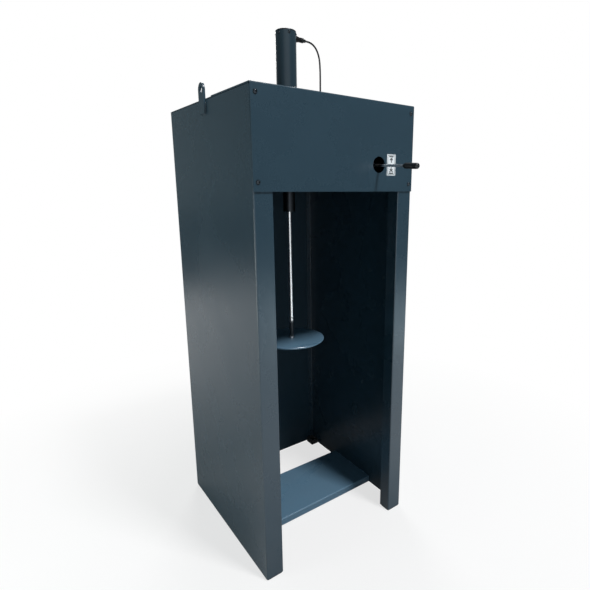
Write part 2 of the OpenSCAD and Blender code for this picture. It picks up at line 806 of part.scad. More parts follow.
module piston() color(alloy) {
    translate([0, 0, piston_z]) difference() {
        cylinder(d = bore_d - 0.6, h = piston_t, $fn = 128);
        translate([0, 0, -1]) cylinder(d = rod_thread + 2 * fit, h = piston_t + 2);
        translate([0, 0, piston_t - nut_pocket]) cylinder(d = nut_af * 1.25, h = nut_pocket + 1);
        for (b = ring_bands()) translate([0, 0, b[0]]) ring(bore_d + 2, bore_d - 10, b[1], $fn = 128);
    }
}

module piston_rings() color(rubber_black) {
    for (b = ring_bands())
        translate([0, 0, piston_z + b[0]]) ring(bore_d - 2 * fit, bore_d - 10, b[1], $fn = 128);
}

module piston_nut() color(zinc_steel) translate([0, 0, piston_z + piston_t - nut_pocket]) {
    difference() {
        hexagon(nut_af, nut_h);
        translate([0, 0, -1]) cylinder(d = rod_thread + 2 * fit, h = nut_h + 2);
    }
}

// Round press plate with softened rims and a countersunk hole in its underside
module press_plate() color(anthracite) {
    soft = 1.5;
    difference() {
        translate([0, 0, plate_top - plate_t]) rotate_extrude($fn = 160) polygon([[0, 0],
            [plate_d / 2 - soft, 0], [plate_d / 2, soft], [plate_d / 2, plate_t - soft],
            [plate_d / 2 - soft, plate_t], [0, plate_t]]);
        translate([0, 0, plate_top - plate_t - 1]) cylinder(d = plate_bolt + 2 * loose, h = plate_t + 2);
        translate([0, 0, plate_top - plate_t]) countersink(loose);
    }
}

// Cone of a countersunk head, opening downward at z = 0
module countersink(gap) {
    translate([0, 0, -0.01]) cylinder(d1 = 2 * plate_bolt + 2 * gap, d2 = plate_bolt + 2 * gap,
        h = plate_bolt / 2);
}

module plate_washer() color(zinc_steel)
    translate([0, 0, plate_top]) ring(washer_d, plate_bolt + 2 * loose, washer_t);

// Countersunk socket screw from under the plate into the rod's end
module plate_screw() color(zinc_steel) translate([0, 0, plate_top - plate_t]) {
    difference() {
        union() {
            intersection() {
                countersink(0);
                cylinder(d = 3 * plate_bolt, h = plate_bolt);
            }
            cylinder(d = plate_bolt, h = plate_t + washer_t + plate_bolt_len - 4);
        }
        translate([0, 0, -1]) hexagon(0.66 * plate_bolt, plate_bolt / 2);
    }
}

// ---------- hand valve ----------

// Valve block with its spool bore and five ports in the rear face
module valve_block() color(alloy) {
    difference() {
        translate([lever_x - valve_w / 2, spool_y - valve_d / 2, block_z])
            cube([valve_w, valve_d, valve_len]);
        translate([lever_x, spool_y, block_z - 1]) cylinder(d = spool_d + 2 * fit, h = valve_len + 2);
        for (z = port_z) translate([lever_x, spool_y, z]) {
            rod_y(5, valve_d);
            translate([0, valve_d / 2 - 9, 0]) rod_y(air_thread + 2 * fit, 10);
        }
        valve_screw_places() translate([0, 0, -10]) cylinder(d = panel_screw + 2 * fit, h = 11);
    }
}

// Clevis under the block: two cheeks for the lever's pin and a hole for the spool
module valve_clevis() color(alloy) {
    low = lever_z - 24;
    difference() {
        translate([lever_x - valve_w / 2, clevis_front, low])
            cube([valve_w, valve_rear - clevis_front, block_z - low]);
        translate([lever_x - slot_w / 2, clevis_front - 1, low - 1])
            cube([slot_w, clevis_back - clevis_front + 1, block_z - low - 5]);
        translate([lever_x - valve_w / 2 - 1, pivot_y, lever_z]) rod_x(pin_d + 2 * fit, valve_w + 2);
        translate([lever_x, spool_y, low]) cylinder(d = spool_d + 2 * fit, h = block_z - low + 1);
    }
}

module valve_cap() color(black_oxide) {
    difference() {
        translate([lever_x - valve_w / 2, spool_y - valve_d / 2, block_top])
            cube([valve_w, valve_d, cap_room + cap_wall]);
        translate([lever_x, spool_y, block_top - 1]) cylinder(d = spring_d + 4, h = cap_room + 1);
    }
}

// Spool: two collars that the lever's fork works between, sealing lands, and the spring tail
module valve_spool() color(bare_steel) {
    land = 12;
    groove_d = 6.5;
    half_room = cap_room / 2;
    translate([lever_x, spool_y, 0]) {
        difference() {
            translate([0, 0, lever_z + neck_gap / 2]) cylinder(d = spool_d,
                h = block_top - lever_z - neck_gap / 2);
            for (i = [0:len(port_z) - 2]) translate([0, 0, (port_z[i] + port_z[i + 1]) / 2
                - (port_pitch - land) / 2]) ring(spool_d + 2, groove_d, port_pitch - land);
        }
        translate([0, 0, lever_z + neck_gap / 2]) cylinder(d = collar_d, h = collar_t);
        translate([0, 0, lever_z - neck_gap / 2 - collar_t]) cylinder(d = collar_d, h = collar_t);
        translate([0, 0, lever_z - neck_gap / 2 - 1]) cylinder(d = tail_d, h = neck_gap + 2);
        translate([0, 0, block_top - 1]) cylinder(d = tail_d, h = half_room + 4);
        translate([0, 0, block_top + half_room - tail_collar_t / 2])
            cylinder(d = spring_d, h = tail_collar_t);
    }
}

// Centring spring that fills a height h
module coil(h) {
    rise = h - spring_wire;
    r = (spring_d - spring_wire) / 2 - 0.3;
    steps = 14;
    swept([for (i = [0:steps * spring_turns]) let (a = 360 * i / steps)
        [r * cos(a), r * sin(a), spring_wire / 2 + rise * i / (steps * spring_turns)]],
        spring_wire, [0, 0, 1], 6);
}
spring_room = (cap_room - tail_collar_t) / 2 - 2 * slack;
module lower_centring_spring() color(bare_steel)
    translate([lever_x, spool_y, block_top + slack]) coil(spring_room);
module upper_centring_spring() color(bare_steel)
    translate([lever_x, spool_y, block_top + (cap_room + tail_collar_t) / 2 + slack]) coil(spring_room);

// Angle bracket that stands the valve on the tray
module valve_bracket() color(zinc_steel) {
    y0 = spool_y - valve_d / 2;
    difference() {
        along_y(y0, y0 + valve_d) folded([[valve_side, block_top - 10], [valve_side, tray_top],
            [valve_side + bracket_foot, tray_top]], bracket_t);
        valve_foot_places(tray_top - 1) cylinder(d = panel_screw + 2 * loose, h = bracket_t + 2);
        valve_screw_places() translate([0, 0, -1])
            cylinder(d = panel_screw + 2 * loose, h = bracket_t + 2);
    }
}
module valve_foot_places(z) {
    for (s = [-1, 1]) translate([valve_side + bracket_foot - 14, spool_y + s * valve_d / 4, z]) children();
}
module valve_screw_places() {
    for (s = [-1, 1]) translate([valve_side, spool_y + s * (valve_d / 2 - 8), block_z + valve_len / 2])
        rotate([0, 90, 0]) children();
}
module valve_screws() color(black_oxide) {
    valve_foot_places(tray_top + bracket_t) domed_screw(panel_screw, bracket_t + tray_t);
    valve_screw_places() translate([0, 0, bracket_t]) domed_screw(panel_screw, bracket_t + 8);
}

module lever_pin() color(bare_steel)
    translate([lever_x - valve_w / 2, pivot_y, lever_z]) rod_x(pin_d, valve_w);

// Turns what points forward from the lever's pivot down to the lever's slope
module sloped_lever() rotate([lever_slope, 0, 0]) children();

// Lever's hub, with a two-pronged fork behind it that straddles the spool's neck
module lever_hub() color(zinc_steel) {
    prong_h = 3.2;
    translate([lever_x, pivot_y, lever_z]) difference() {
        union() {
            translate([-hub_w / 2, 0, 0]) rod_x(hub_d, hub_w);
            for (s = [-1, 1]) {
                x0 = s > 0 ? prong_in : -prong_out;
                translate([x0, 0, -prong_h / 2]) cube([prong_out - prong_in, arm, prong_h]);
                translate([x0, arm, 0]) rod_x(prong_d, prong_out - prong_in);
            }
            sloped_lever() translate([0, -hub_d / 2 - 6, 0]) rod_y(lever_d + 5, hub_d / 2 + 6);
        }
        translate([-hub_w / 2 - 1, 0, 0]) rod_x(pin_d + 2 * fit, hub_w + 2);
        sloped_lever() translate([0, -hub_d / 2 - 7, 0]) rod_y(lever_d, hub_d / 2 + 7 - pin_d / 2 - 1);
    }
}

module lever_rod() color(chrome_steel) {
    start = pin_d / 2 + 1;
    end = pivot_back + lever_out - 10;
    translate([lever_x, pivot_y, lever_z]) sloped_lever()
        translate([0, -end, 0]) rod_y(lever_d, end - start);
}

// Grip: a tapered shank, a round body and a domed end
module lever_grip() color(rubber_black) {
    shoulder = 14;
    dome = 5;
    translate([lever_x, pivot_y, lever_z]) sloped_lever()
        translate([0, -pivot_back - lever_out, 0]) rotate([-90, 0, 0]) difference() {
        rotate_extrude($fn = 64) polygon(concat(
            [[0, 0]],
            [for (a = [15:15:90]) [grip_d / 2 - dome + dome * sin(a), dome - dome * cos(a)]],
            [[grip_d / 2, grip_len - shoulder], [lever_d / 2 + 2, grip_len], [0, grip_len]]));
        translate([0, 0, 10]) cylinder(d = lever_d, h = grip_len);
    }
}

// ---------- air ----------

// Ports from the bottom: exhaust, rod side, supply, cap side, exhaust
module valve_fittings() color(brass_yellow) {
    for (i = [1:3]) translate([lever_x, valve_rear, port_z[i]]) rotate([-90, 0, 0]) push_in_fitting();
}
module exhaust_silencers() color(bronze) {
    for (i = [0, 4]) translate([lever_x, valve_rear, port_z[i]]) rotate([-90, 0, 0]) {
        translate([0, 0, -8]) cylinder(d = air_thread, h = 8.1);
        hexagon(13, 5);
        translate([0, 0, 4.9]) cylinder(d = 11, h = 12);
        translate([0, 0, 16.8]) cylinder(d1 = 11, d2 = 6, h = 4);
    }
}

module rod_end_fitting() color(brass_yellow)
    translate([head_side / 2, 0, rod_port_z]) rotate([0, 90, 0]) push_in_fitting();

// Moulded fitting on the barrel's side: a short neck between two screws, a ribbed cone, a collar
// and a tail for the hose
module cap_end_fitting() color(rubber_black) {
    base = barrel_d / 2;
    neck = 3;
    cone = 26;
    collar = 14;
    ribs = 4;
    rib_pitch = (cone - 2) / ribs;
    difference() {
        translate([base, 0, cap_port_z]) rotate([0, 90, 0]) union() {
            translate([0, 0, -14]) cylinder(d = air_thread, h = 15);
            translate([0, 0, -barrel_wall + 1]) cylinder(d = air_thread + 3, h = barrel_wall);
            cylinder(d = 18, h = neck + 0.1);
            translate([0, 0, neck]) cylinder(d1 = 25, d2 = 15, h = cone, $fn = 64);
            for (i = [0:ribs - 1]) translate([0, 0, neck + i * rib_pitch])
                cylinder(d1 = 29 - 2.6 * i, d2 = 27 - 2.6 * i, h = 4, $fn = 64);
            translate([0, 0, neck + cone - 0.1]) cylinder(d = 21, h = collar, $fn = 64);
            translate([0, 0, neck + cone + collar - 0.2])
                cylinder(d1 = 16, d2 = 13, h = cap_fitting_len - neck - cone - collar + 0.2);
        }
        translate([0, 0, cap_port_z]) rod_x(5, barrel_d);
        translate([base + cap_fitting_len - 12, 0, cap_port_z]) rod_x(hose_d, 20);
    }
}

// Lipped rubber ring in the roof, round the hose
module roof_grommet() color(rubber_black) {
    r = hose_d / 2;
    translate([roof_hose_x, 0, 0]) rotate_extrude() polygon([[r + slack, roof_under - 3],
        [2 * r + 3, roof_under - 3], [2 * r + 3, roof_under], [2 * r, roof_under], [2 * r, roof_top],
        [2 * r + 3, roof_top], [2 * r + 2, roof_top + 3], [r + slack, roof_top + 4]]);
}

// Air inlet through the back panel: nipple outside, nut and push-in end inside
module inlet_coupling() color(brass_yellow) {
    translate([lever_x, rear_y + back_t, inlet_z]) rotate([-90, 0, 0]) {
        difference() {
            union() {
                translate([0, 0, -back_t - inlet_nut_t]) cylinder(d = inlet_d, h = back_t + inlet_nut_t);
                hexagon(27, 7);
                translate([0, 0, 6.9]) cylinder(d = 15, h = 6);
                translate([0, 0, 12.8]) cylinder(d = 9, h = 6);
                translate([0, 0, 17]) cylinder(d1 = 9.6, d2 = 12, h = inlet_tip_z - 17);
                translate([0, 0, inlet_tip_z - 0.1]) cylinder(d = 10, h = 10.9);
                translate([0, 0, -back_t - inlet_nut_t]) hexagon(27, inlet_nut_t);
                translate([0, 0, -back_t - inlet_nut_t - inlet_tail]) cylinder(d = 14, h = inlet_tail + 0.1);
            }
            translate([0, 0, -60]) cylinder(d = 5, h = 120);
            translate([0, 0, -60]) cylinder(d = hose_d, h = 60 - back_t - inlet_nut_t - 8);
        }
    }
}

module cap_side_hose() color(rubber_black) swept(smooth(cap_hose, 2), hose_d - 0.1, [0.1, 1, 0.15]);
module inner_hoses() color("#20406a") {
    swept(smooth(rod_hose, 2), hose_d - 0.1, [1, 0.4, -1]);
    swept(smooth(supply_hose, 2), hose_d - 0.1, [0.1, 0, 1]);
}

left_side_panel();
right_side_panel();
back_panel();
roof_panel();
front_cover();
compartment_floor();
press_platform();
platform_channel();
platform_pads();
front_left_foot();
front_right_foot();
rear_left_foot();
rear_right_foot();
left_lifting_lug();
right_lifting_lug();
front_cross_beam();
rear_cross_beam();
cylinder_mount_plate();
cover_screws();
cover_rivet_nuts();
back_panel_screws();
roof_screws();
head_bolts();
beam_bolts();
cylinder_barrel();
front_head();
rear_head();
barrel_screws();
end_bumpers();
rod_bush();
rod_seal();
rod_wiper();
barrel_roof_seal();
piston_rod();
piston();
piston_rings();
piston_nut();
press_plate();
plate_washer();
plate_screw();
valve_block();
valve_clevis();
valve_cap();
valve_spool();
lower_centring_spring();
upper_centring_spring();
valve_bracket();
valve_screws();
lever_pin();
lever_hub();
lever_rod();
lever_grip();
valve_fittings();
exhaust_silencers();
cap_end_fitting();
rod_end_fitting();
roof_grommet();
inlet_coupling();
cap_side_hose();
inner_hoses();
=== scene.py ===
"""Looks of a pneumatic waste compactor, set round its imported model.

The sheet-metal pieces keep their own shapes and get a satin powder coat. The air hoses, the grip,
the direction label, the weld beads and the valve's springs are surfaces worked out here.
Everything is in metres: floor at z = 0, press axis at x = y = 0, open front towards -Y.
"""

import json
import math

import bmesh
import bpy
import numpy as np
from mathutils import Matrix, Vector


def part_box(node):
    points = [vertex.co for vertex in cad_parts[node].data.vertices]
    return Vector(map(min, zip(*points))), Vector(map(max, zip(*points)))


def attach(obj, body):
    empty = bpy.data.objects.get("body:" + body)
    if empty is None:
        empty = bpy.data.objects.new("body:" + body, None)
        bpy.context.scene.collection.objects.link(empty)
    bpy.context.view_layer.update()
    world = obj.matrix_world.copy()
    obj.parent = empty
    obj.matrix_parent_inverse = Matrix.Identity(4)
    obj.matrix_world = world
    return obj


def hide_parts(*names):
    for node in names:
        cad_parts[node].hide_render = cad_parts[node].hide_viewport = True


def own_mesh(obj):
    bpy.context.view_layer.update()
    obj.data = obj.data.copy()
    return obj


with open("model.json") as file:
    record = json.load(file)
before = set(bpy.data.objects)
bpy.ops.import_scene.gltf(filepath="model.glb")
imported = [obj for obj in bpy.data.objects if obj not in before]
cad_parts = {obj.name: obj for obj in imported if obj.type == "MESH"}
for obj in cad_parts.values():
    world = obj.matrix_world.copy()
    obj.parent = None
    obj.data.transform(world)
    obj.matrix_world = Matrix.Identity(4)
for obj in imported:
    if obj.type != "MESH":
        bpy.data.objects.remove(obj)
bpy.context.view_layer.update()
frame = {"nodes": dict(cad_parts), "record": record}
nodes = frame["nodes"]
joint_rows = {row["name"]: row for row in frame["record"]["behaviour"]["joints"]}
scene = bpy.context.scene
scene.view_settings.view_transform = "Standard"

# ---------------------------------------------------------------- camera

CAMERA_AT = (-1.1379, -1.8747, 1.6495)
CAMERA_YAW = math.radians(37.64)
CAMERA_PITCH = math.radians(12.39)
CAMERA_ROLL = math.radians(0.23)
CAMERA_LENS, SENSOR_WIDTH = 27.46, 36
CAMERA_SHIFT = (-0.0762, -0.0139)


def place_camera():
    """Camera at eye height, left of the front. Its axes come from yaw, pitch and roll."""
    yaw, pitch = CAMERA_YAW, CAMERA_PITCH
    ahead = Vector(
        (
            math.sin(yaw) * math.cos(pitch),
            math.cos(yaw) * math.cos(pitch),
            -math.sin(pitch),
        )
    )
    right = Vector((math.cos(yaw), -math.sin(yaw), 0))
    up = right.cross(ahead)
    turned_right = right * math.cos(CAMERA_ROLL) + up * math.sin(CAMERA_ROLL)
    turned_up = turned_right.cross(ahead)
    data = bpy.data.cameras.new("camera")
    data.sensor_width = SENSOR_WIDTH
    data.lens = CAMERA_LENS
    data.shift_x, data.shift_y = CAMERA_SHIFT
    data.clip_start = 0.05
    data.clip_end = 60
    camera = bpy.data.objects.new("camera", data)
    axes = Matrix((turned_right, turned_up, -ahead)).transposed()
    camera.matrix_world = Matrix.Translation(CAMERA_AT) @ axes.to_4x4()
    scene.collection.objects.link(camera)
    scene.camera = camera


place_camera()

# ---------------------------------------------------------------- surfaces


def unit(vectors):
    """Each vector over its own length."""
    return vectors / np.linalg.norm(vectors, axis=-1, keepdims=True)


def smooth_line(points, steps):
    """Catmull-Rom line through the points: each stretch is the cubic that passes through its two
    ends and leaves each along the chord of that end's neighbours."""
    p = np.asarray(points, float)
    before, after = np.vstack([p[:1], p[:-2]]), np.vstack([p[2:], p[-1:]])
    a, b, c, d = (q[:, None, :] for q in (before, p[:-1], p[1:], after))
    t = (np.arange(steps) / steps)[None, :, None]
    line = 0.5 * (
        2 * b
        + (c - a) * t
        + (2 * a - 5 * b + 4 * c - d) * t**2
        + (3 * b - a - 3 * c + d) * t**3
    )
    return np.vstack([line.reshape(-1, 3), p[-1:]])


def tube(line, radius, side, around=20):
    """Tube: at each point of the line, a circle of the radius across the line's direction.
    side is a direction that the line never takes. radius may change from point to point."""
    ahead = unit(np.gradient(line, axis=0))
    u = unit(np.cross(ahead, side))[:, None, :]
    v = np.cross(ahead, u[:, 0])[:, None, :]
    angle = np.linspace(0, 2 * np.pi, around, endpoint=False)[None, :, None]
    r = np.broadcast_to(radius, len(line))[:, None, None]
    return line[:, None, :] + r * (np.cos(angle) * u + np.sin(angle) * v)


def turned(profile, centre, axis, around=64):
    """Turned surface: a profile of (radius, height) pairs, carried round the axis."""
    axis = unit(np.asarray(axis, float))
    u = unit(np.cross(axis, (0.31, 0.53, 0.79)))
    v = np.cross(axis, u)
    angle = np.linspace(0, 2 * np.pi, around, endpoint=False)[None, :, None]
    r, h = (np.asarray(profile, float)[:, i, None, None] for i in (0, 1))
    return np.asarray(centre) + r * (np.cos(angle) * u + np.sin(angle) * v) + h * axis


TUBE, RING = "tube", "ring"


def build(name, parts, body, material, bend=35):
    """Mesh of one or more grids of points. A part is (grid, kind). Each row's last point joins its
    first; a tube's two end rows are closed, and a ring's last row joins its first."""
    verts, faces, start = [], [], 0
    for grid, kind in parts:
        rows, columns = grid.shape[:2]
        index = np.arange(rows * columns).reshape(rows, columns) + start
        if kind == RING:
            index = np.vstack([index, index[:1]])
        else:
            faces += [index[0][::-1].tolist(), index[-1].tolist()]
        index = np.hstack([index, index[:, :1]])
        quads = np.stack(
            [index[:-1, :-1], index[:-1, 1:], index[1:, 1:], index[1:, :-1]], -1
        )
        faces += quads.reshape(-1, 4).tolist()
        verts.append(grid.reshape(-1, 3))
        start += rows * columns
    mesh = bpy.data.meshes.new(name)
    mesh.from_pydata(np.vstack(verts).tolist(), [], faces)
    work = bmesh.new()
    work.from_mesh(mesh)
    bmesh.ops.remove_doubles(work, verts=work.verts, dist=1e-6)
    bmesh.ops.dissolve_degenerate(work, edges=work.edges, dist=1e-7)
    bmesh.ops.recalc_face_normals(work, faces=work.faces)
    work.to_mesh(mesh)
    work.free()
    mesh.shade_smooth()
    mesh.set_sharp_from_angle(angle=math.radians(bend))
    piece = bpy.data.objects.new(name, mesh)
    scene.collection.objects.link(piece)
    mesh.materials.append(material)
    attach(piece, body)
    return piece


# ---------------------------------------------------------------- shader helpers


def put(tree, kind, settings=None, **inputs):
    """A node with its settings, and its inputs as values or links."""
    node = tree.nodes.new(kind)
    for key, value in (settings or {}).items():
        setattr(node, key, value)
    for key, value in inputs.items():
        place = int(key[1:]) if key[1:].isdigit() else key.replace("_", " ")
        socket = node.inputs[place]
        if isinstance(value, bpy.types.NodeSocket):
            tree.links.new(value, socket)
        else:
            socket.default_value = value
    return node


def blend_colour(tree, share, low, high):
    """Colour between low and high by share."""
    return put(
        tree, "ShaderNodeMix", {"data_type": "RGBA"}, i0=share, i6=low, i7=high
    ).outputs[2]


def blend_value(tree, share, low, high):
    """Value between low and high by share."""
    return put(
        tree, "ShaderNodeMix", {"data_type": "FLOAT"}, i0=share, i2=low, i3=high
    ).outputs[0]


def sums(tree, way, a, b, clamp=False):
    """a and b through one sum."""
    return put(
        tree, "ShaderNodeMath", {"operation": way, "use_clamp": clamp}, i0=a, i1=b
    ).outputs[0]


def product(tree, *values):
    """All the values multiplied together."""
    made = values[0]
    for value in values[1:]:
        made = sums(tree, "MULTIPLY", made, value)
    return made


def likeness(tree, a, b):
    """Dot product of two directions: 1 where they are alike."""
    return put(
        tree, "ShaderNodeVectorMath", {"operation": "DOT_PRODUCT"}, i0=a, i1=b
    ).outputs["Value"]


def spread(tree, value, low, high, to_low=0.0, to_high=1.0):
    """value mapped from low..high to to_low..to_high, and kept inside."""
    return put(
        tree,
        "ShaderNodeMapRange",
        {"clamp": True},
        i0=value,
        i1=low,
        i2=high,
        i3=to_low,
        i4=to_high,
    ).outputs[0]


def noise(tree, place, scale, detail=3.0, rough=0.55):
    """Noise on a place."""
    return put(
        tree,
        "ShaderNodeTexNoise",
        None,
        Vector=place,
        Scale=scale,
        Detail=detail,
        Roughness=rough,
    ).outputs[0]


def group(name, inputs, outputs):
    """An empty shader group with named inputs (name, start value) and outputs (name, kind)."""
    tree = bpy.data.node_groups.new(name, "ShaderNodeTree")
    for label, value in inputs:
        kind = "NodeSocketVector" if value is None else "NodeSocketFloat"
        socket = tree.interface.new_socket(label, in_out="INPUT", socket_type=kind)
        if value is not None:
            socket.default_value = value
    for label, kind in outputs:
        tree.interface.new_socket(label, in_out="OUTPUT", socket_type=kind)
    return tree, tree.nodes.new("NodeGroupInput"), tree.nodes.new("NodeGroupOutput")


def make_tone_group():
    """Slow light and dark patches with fine speckle in them: wide noise and a little fine noise."""
    tree, given, made = group(
        "uneven_tone",
        [("Place", None), ("Patch", 4.0), ("Speckle", 220.0), ("Fine", 0.35)],
        [("Tone", "NodeSocketFloat")],
    )
    wide = noise(tree, given.outputs["Place"], given.outputs["Patch"], 4.0, 0.5)
    fine = noise(tree, given.outputs["Place"], given.outputs["Speckle"], 2.0, 0.6)
    mixed = blend_value(tree, given.outputs["Fine"], wide, fine)
    tree.links.new(spread(tree, mixed, 0.3, 0.7), made.inputs["Tone"])
    return tree


def make_peel_group():
    """Height of a sprayed or moulded skin: small round bumps and a slow swell of the sheet."""
    tree, given, made = group(
        "skin_relief",
        [("Place", None), ("Bumps", 420.0), ("Swell", 3.0), ("Swell Share", 0.5)],
        [("Height", "NodeSocketFloat")],
    )
    place = given.outputs["Place"]
    bumps = put(
        tree,
        "ShaderNodeTexVoronoi",
        {"feature": "SMOOTH_F1"},
        Vector=place,
        Scale=given.outputs["Bumps"],
        Smoothness=0.9,
    ).outputs[0]
    swell = noise(tree, place, given.outputs["Swell"], 1.0, 0.4)
    tree.links.new(
        blend_value(tree, given.outputs["Swell Share"], bumps, swell), made.inputs["Height"]
    )
    return tree


def make_edge_group():
    """Mask of corners: one less the dot product of the face's direction and the direction that it
    has when its corners are rounded, broken up by noise."""
    tree, given, made = group(
        "rubbed_and_highlit_edges",
        [("Place", None), ("Reach", 0.002), ("Amount", 1.0)],
        [("Mask", "NodeSocketFloat")],
    )
    rounded = put(tree, "ShaderNodeBevel", {"samples": 4}, Radius=given.outputs["Reach"])
    flat = put(tree, "ShaderNodeNewGeometry")
    corner = spread(tree, likeness(tree, rounded.outputs[0], flat.outputs["Normal"]), 0.985, 0.8)
    broken = spread(tree, noise(tree, given.outputs["Place"], 60.0, 4.0), 0.42, 0.6)
    mask = product(tree, corner, broken)
    mask = sums(tree, "MULTIPLY", mask, given.outputs["Amount"], clamp=True)
    tree.links.new(mask, made.inputs["Mask"])
    return tree


def make_dust_group():
    """Mask of dust: on faces that look up, and near the floor, thinned out by noise."""
    tree, given, made = group(
        "settled_dust",
        [("Place", None), ("Floor Height", 0.3), ("Amount", 0.5)],
        [("Mask", "NodeSocketFloat")],
    )
    facing = put(tree, "ShaderNodeNewGeometry").outputs["Normal"]
    up = put(tree, "ShaderNodeSeparateXYZ", None, i0=facing).outputs[2]
    height = put(tree, "ShaderNodeSeparateXYZ", None, i0=given.outputs["Place"]).outputs[2]
    lying = spread(tree, up, 0.6, 0.95)
    risen = sums(tree, "DIVIDE", height, given.outputs["Floor Height"])
    low = sums(tree, "SUBTRACT", 1.0, risen, True)
    either = sums(tree, "MAXIMUM", lying, product(tree, low, 0.8))
    patches = spread(tree, noise(tree, given.outputs["Place"], 9.0, 6.0, 0.62), 0.32, 0.72)
    mask = product(tree, either, patches)
    mask = sums(tree, "MULTIPLY", mask, given.outputs["Amount"], clamp=True)
    tree.links.new(mask, made.inputs["Mask"])
    return tree


def make_scratch_group():
    """Mask of fine hairline scratches: the thin crests of a noise stretched along one way."""
    tree, given, made = group(
        "hairlines",
        [("Place", None), ("Along X", 8.0), ("Along Y", 8.0), ("Along Z", 400.0), ("Amount", 0.5)],
        [("Mask", "NodeSocketFloat")],
    )
    stretch = put(
        tree,
        "ShaderNodeCombineXYZ",
        None,
        i0=given.outputs["Along X"],
        i1=given.outputs["Along Y"],
        i2=given.outputs["Along Z"],
    ).outputs[0]
    place = put(
        tree,
        "ShaderNodeVectorMath",
        {"operation": "MULTIPLY"},
        i0=given.outputs["Place"],
        i1=stretch,
    ).outputs[0]
    crest = spread(tree, noise(tree, place, 1.0, 2.0, 0.5), 0.56, 0.68)
    mask = sums(tree, "MULTIPLY", crest, given.outputs["Amount"], clamp=True)
    tree.links.new(mask, made.inputs["Mask"])
    return tree


TONE, PEEL, EDGES, DUST, HAIRLINES = (
    make()
    for make in (
        make_tone_group,
        make_peel_group,
        make_edge_group,
        make_dust_group,
        make_scratch_group,
    )
)


def effect(tree, made_group, place, **values):
    """One of the shared effects, with its own values."""
    node = tree.nodes.new("ShaderNodeGroup")
    node.node_tree = made_group
    tree.links.new(place, node.inputs["Place"])
    for key, value in values.items():
        node.inputs[key.replace("_", " ")].default_value = value
    return node.outputs[0]


def start_material(name):
    """An empty material: its tree, its Principled node and the place of each point."""
    material = bpy.data.materials.new(name)
    material.use_nodes = True
    tree = material.node_tree
    shader = tree.nodes["Principled BSDF"]
    place = tree.nodes.new("ShaderNodeTexCoord").outputs["Object"]
    return material, tree, shader, place


def colour(r, g, b):
    """Solid colour from its three shares."""
    return (r, g, b, 1.0)


def relief(tree, shader, height, depth):
    """A Bump node from a height to the shader's Normal."""
    bump = put(tree, "ShaderNodeBump", None, Strength=1.0, Distance=depth, Height=height)
    tree.links.new(bump.outputs[0], shader.inputs["Normal"])


def powder_coat(name, light, dark, rough, dust, wear_and_highlight, swell=0.25, shine=0.66):
    """Satin powder coat: bluish grey with faint patches, orange peel, paler corners and warm grey
    dust. The paler corners are rubbed wear at a low wear share, and at a high share a painted
    highlight along folds and rims."""
    material, tree, shader, place = start_material(name)
    tone = effect(tree, TONE, place, Patch=3.2, Speckle=260.0, Fine=0.12)
    paint = blend_colour(tree, tone, colour(*dark), colour(*light))
    worn = effect(tree, EDGES, place, Reach=0.0022, Amount=wear_and_highlight)
    # paler corner colour: rubbed wear, and at a high wear share a painted highlight along folds and
    # rims
    rubbed_and_highlit = [min(1.0, 1.9 * c + 0.11) for c in light]
    paint = blend_colour(tree, worn, paint, colour(*rubbed_and_highlit))
    dusty = effect(tree, DUST, place, Floor_Height=0.5, Amount=dust)
    paint = blend_colour(tree, dusty, paint, colour(0.17, 0.165, 0.155))
    tree.links.new(paint, shader.inputs["Base Color"])
    gloss = spread(tree, tone, 0.0, 1.0, rough - 0.05, rough + 0.06)
    gloss = sums(tree, "ADD", gloss, product(tree, dusty, 0.35), True)
    tree.links.new(gloss, shader.inputs["Roughness"])
    shader.inputs["Specular IOR Level"].default_value = shine
    height = effect(tree, PEEL, place, Bumps=430.0, Swell=1.6, Swell_Share=swell)
    relief(tree, shader, height, 0.0003)
    return material


def metal(name, light, dark, rough, patch=40.0, along=(6.0, 6.0, 300.0), lines=0.35):
    """Bare or plated metal: two tones, hairlines that catch the light, and uneven gloss."""
    material, tree, shader, place = start_material(name)
    tone = effect(tree, TONE, place, Patch=patch, Speckle=900.0, Fine=0.4)
    base = blend_colour(tree, tone, colour(*dark), colour(*light))
    lines_mask = effect(
        tree, HAIRLINES, place, Along_X=along[0], Along_Y=along[1], Along_Z=along[2], Amount=lines
    )
    bright = [min(1.0, 1.25 * c) for c in light]
    base = blend_colour(tree, lines_mask, base, colour(*bright))
    tree.links.new(base, shader.inputs["Base Color"])
    shader.inputs["Metallic"].default_value = 1.0
    gloss = spread(tree, tone, 0.0, 1.0, rough * 0.8, rough * 1.25)
    tree.links.new(gloss, shader.inputs["Roughness"])
    relief(tree, shader, lines_mask, 0.00004)
    return material


def painted_dark_foot(material, low, high):
    """Painted shade on the rod: a dull dark band between two heights that stands in for the shade
    and dark reflection there, with a ragged edge, and a thin dark line just above: bands on the
    height plus noise."""
    tree = material.node_tree
    shader = tree.nodes["Principled BSDF"]
    place = next(n for n in tree.nodes if n.bl_idname == "ShaderNodeTexCoord").outputs["Object"]
    height = put(tree, "ShaderNodeSeparateXYZ", None, i0=place).outputs[2]
    ragged = spread(tree, noise(tree, place, 90.0, 4.0), 0.3, 0.7, -0.004, 0.004)
    height = sums(tree, "ADD", height, ragged)
    painted_shade_band = product(
        tree,
        spread(tree, height, low, low + 0.006),
        spread(tree, height, high - 0.014, high, 1.0, 0.0),
    )
    line = product(
        tree,
        spread(tree, height, high + 0.008, high + 0.01),
        spread(tree, height, high + 0.012, high + 0.014, 0.7, 0.0),
    )
    painted_shade_band = sums(tree, "MAXIMUM", painted_shade_band, line)
    for label, dull in (
        ("Base Color", colour(0.024, 0.03, 0.036)),
        ("Roughness", 0.42),
        ("Metallic", 0.0),
    ):
        socket = shader.inputs[label]
        unshaded = socket.links[0].from_socket if socket.links else socket.default_value
        blend = blend_colour if label == "Base Color" else blend_value
        tree.links.new(blend(tree, painted_shade_band, unshaded, dull), socket)


